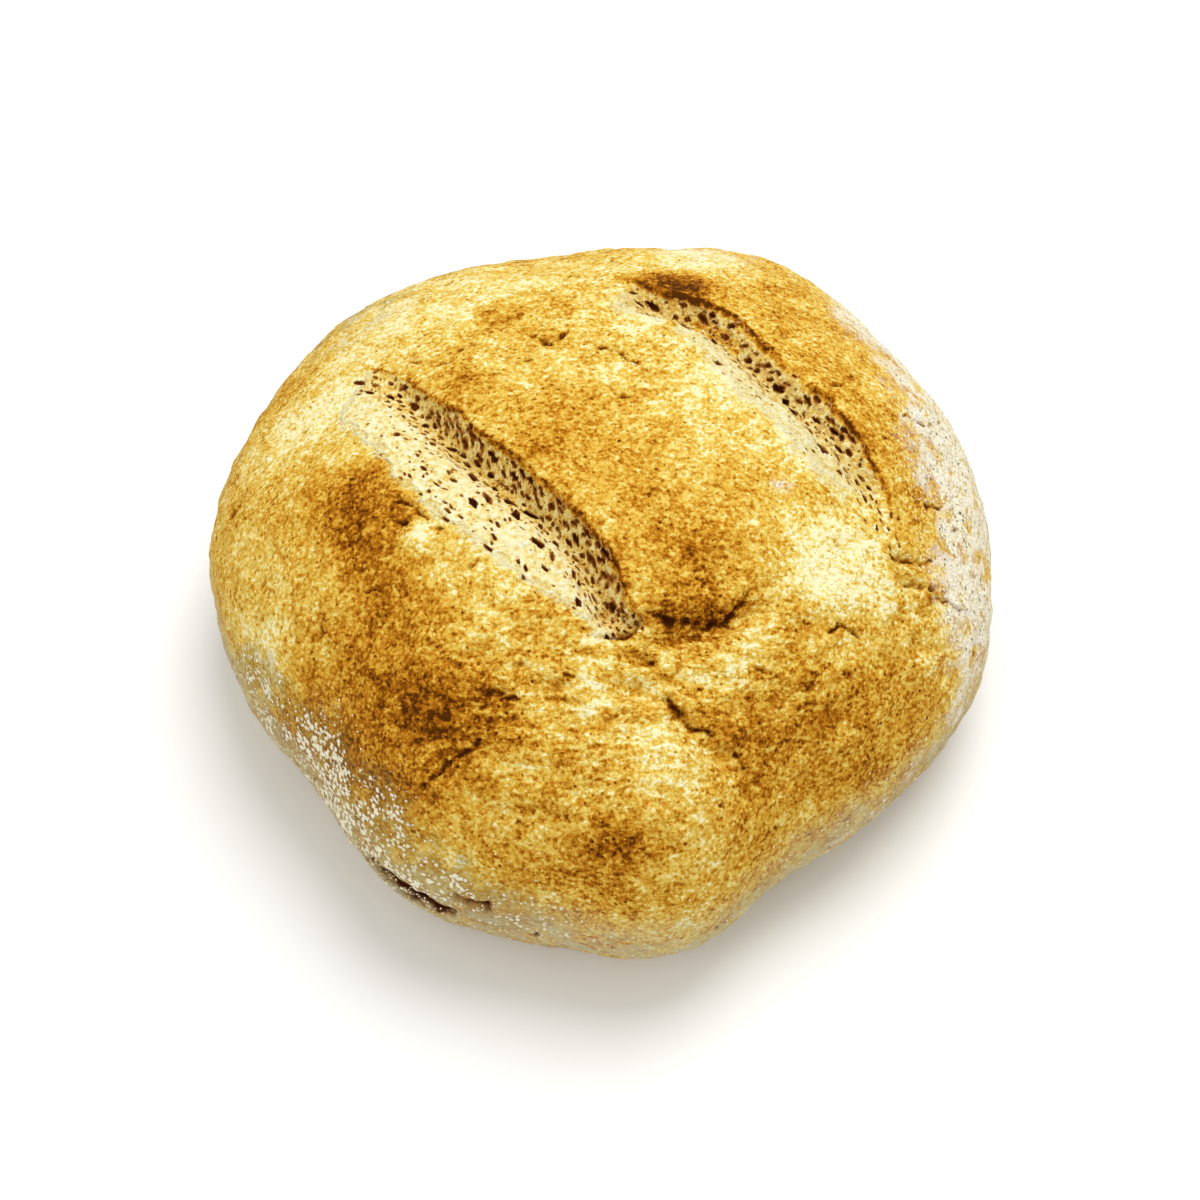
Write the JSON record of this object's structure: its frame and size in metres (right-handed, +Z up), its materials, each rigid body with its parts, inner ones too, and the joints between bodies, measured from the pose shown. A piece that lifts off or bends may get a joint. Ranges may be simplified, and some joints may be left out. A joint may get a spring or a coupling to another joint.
{
  "type": "round wholemeal loaf",
  "caption": "Round whole wheat loaf, baked free-standing, with a flat base, an uneven dome and curved scores torn open across the top.",
  "frame": {"origin": "middle of the flat base, under the middle of the loaf's box", "axes": "+Z up from the base, -Y towards the loaf's blunt front, +X to the right seen from the front"},
  "size_m": [0.2366, 0.241, 0.1037],
  "materials": {
    "crust": "dry baked crust, matt, floured low on the side"
  },
  "bodies": {
    "root": {"loaf": "crust"}
  },
  "joints": []
}
